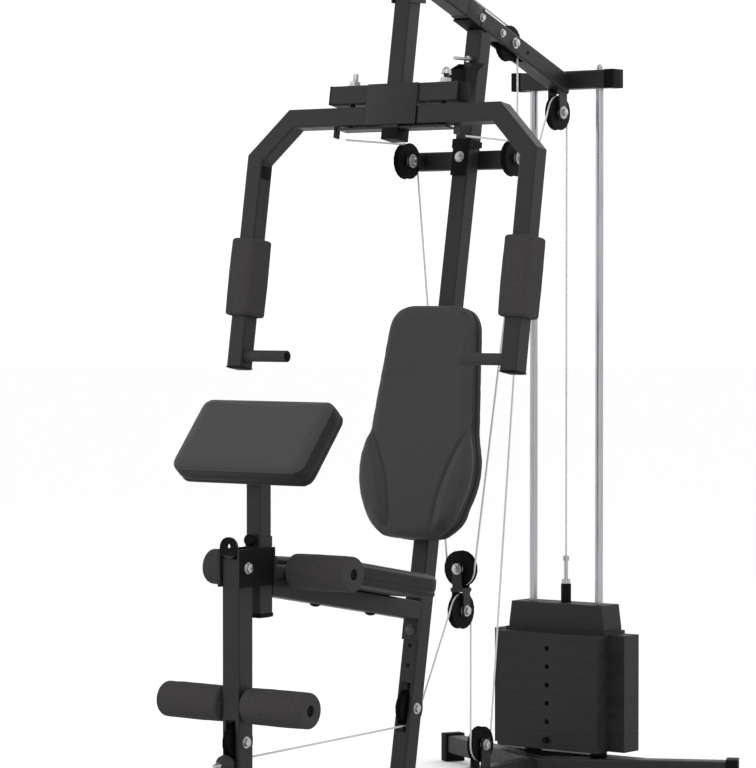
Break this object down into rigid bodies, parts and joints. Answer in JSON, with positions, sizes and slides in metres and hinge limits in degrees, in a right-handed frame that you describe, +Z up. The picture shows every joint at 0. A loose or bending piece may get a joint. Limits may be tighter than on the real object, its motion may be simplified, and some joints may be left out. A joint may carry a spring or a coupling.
{
  "type": "multi station home gym",
  "caption": "Home gym with a weight stack on chrome guide rods, lat bar, press and butterfly arms, padded seat, curl pad and leg lever with foam rollers.",
  "frame": {"origin": "on the floor, at the middle of the machine's footprint", "axes": "+Z up; -Y the way the seated user faces; +X the user's left"},
  "size_m": [1.007, 1.5428, 2.102],
  "materials": {
    "frame_paint": "satin charcoal paint",
    "chrome": "bright chrome plating",
    "pulley_plastic": "black moulded nylon",
    "foam": "closed cell foam, matte",
    "vinyl": "dark grey upholstery vinyl over foam",
    "plate": "dark grey cast plate, matte",
    "cable": "steel rope in a pale sleeve",
    "rubber": "black rubber"
  },
  "bodies": {
    "frame": {"rear_leg_left": "frame_paint", "rear_leg_right": "frame_paint", "base_beam": "frame_paint", "stack_base_tube": "frame_paint", "front_foot_tube": "frame_paint", "upright": "frame_paint", "top_boom": "frame_paint", "rear_crossbar": "frame_paint", "arm_pulley_bar": "frame_paint", "hanger_pin": "chrome", "guide_rod_right": "chrome", "guide_rod_left": "chrome", "seat_tube": "frame_paint", "seat_pad": "vinyl", "back_pad": "vinyl", "post_receiver": "frame_paint", "thigh_roller_left": "foam", "thigh_roller_right": "foam", "high_float_fork": "frame_paint", "double_float_fork": "frame_paint", "upper_cable": "cable", "stack_cable": "cable", "lat_cable": "cable", "lower_cable": "cable", "butterfly_cable": "cable"},
    "weight_stack": {"weight_plate_1": "plate", "weight_plate_2": "plate", "weight_plate_3": "plate", "weight_plate_4": "plate", "weight_plate_5": "plate", "weight_plate_6": "plate", "stack_top_plate": "plate", "selector_stem": "chrome"},
    "selector_pin_body": {"selector_pin": "pulley_plastic"},
    "lat_bar_body": {"lat_bar": "chrome"},
    "press_arm_body": {"press_arm": "frame_paint"},
    "left_arm": {"butterfly_arm_left": "frame_paint", "arm_sleeve_left": "foam", "hand_grip_left": "rubber"},
    "right_arm": {"butterfly_arm_right": "frame_paint", "arm_sleeve_right": "foam", "hand_grip_right": "rubber"},
    "lever": {"leg_lever": "frame_paint", "lever_cable_end": "rubber", "shin_roller_left": "foam", "shin_roller_right": "foam", "shin_roller_axle": "chrome"},
    "curl_rest": {"curl_post": "frame_paint", "curl_pad": "vinyl"},
    "front_pulley_wheel": {"front_pulley": "pulley_plastic"},
    "boom_pulley_wheel": {"boom_pulley": "pulley_plastic"},
    "rear_pulley_wheel": {"rear_pulley": "pulley_plastic"},
    "high_float_pulley_wheel": {"high_float_pulley": "pulley_plastic"},
    "base_pulley_wheel": {"base_pulley": "pulley_plastic"},
    "low_float_pulley_wheel": {"low_float_pulley": "pulley_plastic"},
    "upright_pulley_wheel": {"upright_pulley": "pulley_plastic"},
    "lever_pulley_wheel": {"lever_pulley": "pulley_plastic"},
    "arm_pulley_left_wheel": {"arm_pulley_left": "pulley_plastic"},
    "arm_pulley_right_wheel": {"arm_pulley_right": "pulley_plastic"},
    "cross_float_pulley_wheel": {"cross_float_pulley": "pulley_plastic"}
  },
  "joints": [
    {"name": "weight_stack_lift", "type": "slide", "parent": "frame", "child": "weight_stack", "axis": [0, 0, 1], "range_m": [0, 0.9], "deforming": ["stack_cable"]},
    {"name": "lat_bar_pull", "type": "slide", "parent": "frame", "child": "lat_bar_body", "axis": [0, 0, -1], "range_m": [0, 0.9], "deforming": ["lat_cable"]},
    {"name": "selector_pin_pull", "type": "slide", "parent": "weight_stack", "child": "selector_pin_body", "axis": [0, -1, 0], "range_m": [0, 0.1]},
    {"name": "press_arm_swing", "type": "hinge", "parent": "frame", "child": "press_arm_body", "pos_m": [0, -0.0149, 1.919], "axis": [-1, 0, 0], "range_deg": [0, 40]},
    {"name": "left_arm_swing", "type": "hinge", "parent": "press_arm_body", "child": "left_arm", "pos_m": [0.133, -0.06156, 1.62771], "axis": [0, -0.1582, -0.9874], "range_deg": [0, 80]},
    {"name": "right_arm_swing", "type": "hinge", "parent": "press_arm_body", "child": "right_arm", "pos_m": [-0.133, -0.06156, 1.62771], "axis": [0, 0.1582, 0.9874], "range_deg": [0, 80]},
    {"name": "leg_lever_swing", "type": "hinge", "parent": "frame", "child": "lever", "pos_m": [0, -0.6439, 0.608], "axis": [-1, 0, 0], "range_deg": [0, 75]},
    {"name": "curl_post_height", "type": "slide", "parent": "frame", "child": "curl_rest", "axis": [0, 0, 1], "range_m": [0, 0.1]},
    {"name": "front_pulley_spin", "type": "hinge", "parent": "frame", "child": "front_pulley_wheel", "pos_m": [0, -0.22195, 2.058], "axis": [1, 0, 0], "continuous": true},
    {"name": "boom_pulley_spin", "type": "hinge", "parent": "frame", "child": "boom_pulley_wheel", "pos_m": [0, 0.38705, 1.8237], "axis": [1, 0, 0], "continuous": true},
    {"name": "rear_pulley_spin", "type": "hinge", "parent": "frame", "child": "rear_pulley_wheel", "pos_m": [0, 0.60005, 1.664], "axis": [1, 0, 0], "continuous": true},
    {"name": "high_float_pulley_spin", "type": "hinge", "parent": "frame", "child": "high_float_pulley_wheel", "pos_m": [0, 0.46705, 1.564], "axis": [1, 0, 0], "continuous": true},
    {"name": "base_pulley_spin", "type": "hinge", "parent": "frame", "child": "base_pulley_wheel", "pos_m": [0, 0.27405, 0.123], "axis": [1, 0, 0], "continuous": true},
    {"name": "low_float_pulley_spin", "type": "hinge", "parent": "frame", "child": "low_float_pulley_wheel", "pos_m": [0, 0.19405, 0.453], "axis": [1, 0, 0], "continuous": true},
    {"name": "upright_pulley_spin", "type": "hinge", "parent": "frame", "child": "upright_pulley_wheel", "pos_m": [0, -0.01295, 0.238], "axis": [1, 0, 0], "continuous": true},
    {"name": "lever_pulley_spin", "type": "hinge", "parent": "lever", "child": "lever_pulley_wheel", "pos_m": [0, -0.64395, 0.222], "axis": [1, 0, 0], "continuous": true},
    {"name": "arm_pulley_left_spin", "type": "hinge", "parent": "frame", "child": "arm_pulley_left_wheel", "pos_m": [0.158, 0.18805, 1.535], "axis": [1, 0, 0], "continuous": true},
    {"name": "arm_pulley_right_spin", "type": "hinge", "parent": "frame", "child": "arm_pulley_right_wheel", "pos_m": [-0.158, 0.18805, 1.535], "axis": [1, 0, 0], "continuous": true},
    {"name": "cross_float_pulley_spin", "type": "hinge", "parent": "frame", "child": "cross_float_pulley_wheel", "pos_m": [0, 0.1941, 0.554], "axis": [0, 1, 0], "continuous": true}
  ],
  "couplings": [
    {"joint": "lat_bar_pull", "follows": "weight_stack_lift", "ratio": 1}
  ]
}
